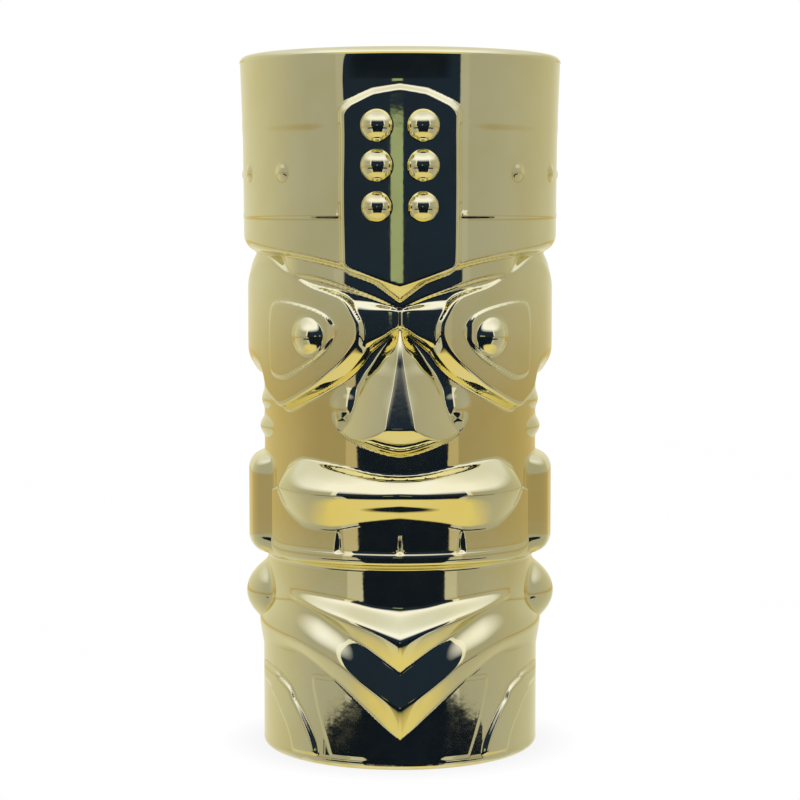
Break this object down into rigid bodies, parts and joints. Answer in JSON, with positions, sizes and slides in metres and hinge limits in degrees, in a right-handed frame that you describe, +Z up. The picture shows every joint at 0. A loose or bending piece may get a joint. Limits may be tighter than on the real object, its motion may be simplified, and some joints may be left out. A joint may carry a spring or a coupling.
{
  "type": "tiki mug",
  "caption": "Tall gold-plated ceramic drinking mug with a tiki head in relief: headband, eyes, nose, mouth, ears, collar and legs.",
  "frame": {"origin": "middle of the foot, on the table", "axes": "+Z up the mug, -Y out of the face, +X to the right of someone who looks at the face"},
  "size_m": [0.0748, 0.0782, 0.16],
  "materials": {
    "gold_plated_ceramic": "mirror-bright pale gold metal coat over glazed ceramic"
  },
  "bodies": {
    "root": {"apron": "gold_plated_ceramic", "boss_01": "gold_plated_ceramic", "boss_02": "gold_plated_ceramic", "boss_03": "gold_plated_ceramic", "boss_04": "gold_plated_ceramic", "boss_05": "gold_plated_ceramic", "boss_06": "gold_plated_ceramic", "boss_07": "gold_plated_ceramic", "boss_08": "gold_plated_ceramic", "boss_09": "gold_plated_ceramic", "boss_10": "gold_plated_ceramic", "boss_11": "gold_plated_ceramic", "boss_12": "gold_plated_ceramic", "brow_bridge": "gold_plated_ceramic", "brow_step": "gold_plated_ceramic", "cheek_fold_left": "gold_plated_ceramic", "cheek_fold_right": "gold_plated_ceramic", "ear_knob_left": "gold_plated_ceramic", "ear_knob_right": "gold_plated_ceramic", "ear_left": "gold_plated_ceramic", "ear_right": "gold_plated_ceramic", "eye_mask_left": "gold_plated_ceramic", "eye_mask_right": "gold_plated_ceramic", "eye_plate_left": "gold_plated_ceramic", "eye_plate_right": "gold_plated_ceramic", "foot_rim": "gold_plated_ceramic", "forehead_plaque": "gold_plated_ceramic", "headband": "gold_plated_ceramic", "jaw": "gold_plated_ceramic", "lower_collar": "gold_plated_ceramic", "lower_cord": "gold_plated_ceramic", "mouth": "gold_plated_ceramic", "nose": "gold_plated_ceramic", "nostril_left": "gold_plated_ceramic", "nostril_right": "gold_plated_ceramic", "pupil_left": "gold_plated_ceramic", "pupil_right": "gold_plated_ceramic", "shin_left": "gold_plated_ceramic", "shin_right": "gold_plated_ceramic", "stud_left_1": "gold_plated_ceramic", "stud_left_2": "gold_plated_ceramic", "stud_left_3": "gold_plated_ceramic", "stud_right_1": "gold_plated_ceramic", "stud_right_2": "gold_plated_ceramic", "stud_right_3": "gold_plated_ceramic", "thigh_left": "gold_plated_ceramic", "thigh_right": "gold_plated_ceramic", "upper_collar": "gold_plated_ceramic", "upper_cord": "gold_plated_ceramic", "vessel": "gold_plated_ceramic"}
  },
  "joints": []
}
